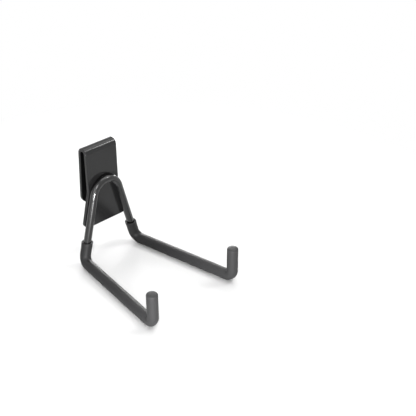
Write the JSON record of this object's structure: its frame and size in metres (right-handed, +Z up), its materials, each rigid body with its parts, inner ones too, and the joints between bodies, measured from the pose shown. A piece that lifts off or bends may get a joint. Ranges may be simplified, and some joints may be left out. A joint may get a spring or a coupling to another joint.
{
  "type": "garage utility hook",
  "caption": "Wall rail hook: a folded sheet hanger plate with a bent rod in an A shape, whose splayed, sleeved arms reach forward and turn up at the tips.",
  "frame": {"origin": "on the axis of the plate's top fold, midway across the plate, where the hook hangs on a rail", "axes": "+Z up, +X to the right as seen from the front, the arms reach forward along -Y and +Y is towards the wall"},
  "size_m": [0.119, 0.1525, 0.127],
  "materials": {
    "black_paint": "semi-gloss black powder coat",
    "sleeve_vinyl": "matte dark grey vinyl"
  },
  "bodies": {
    "root": {"hanger_plate": "black_paint", "hook_rod": "black_paint", "arm_sleeve_left": "sleeve_vinyl", "arm_sleeve_right": "sleeve_vinyl"}
  },
  "joints": []
}
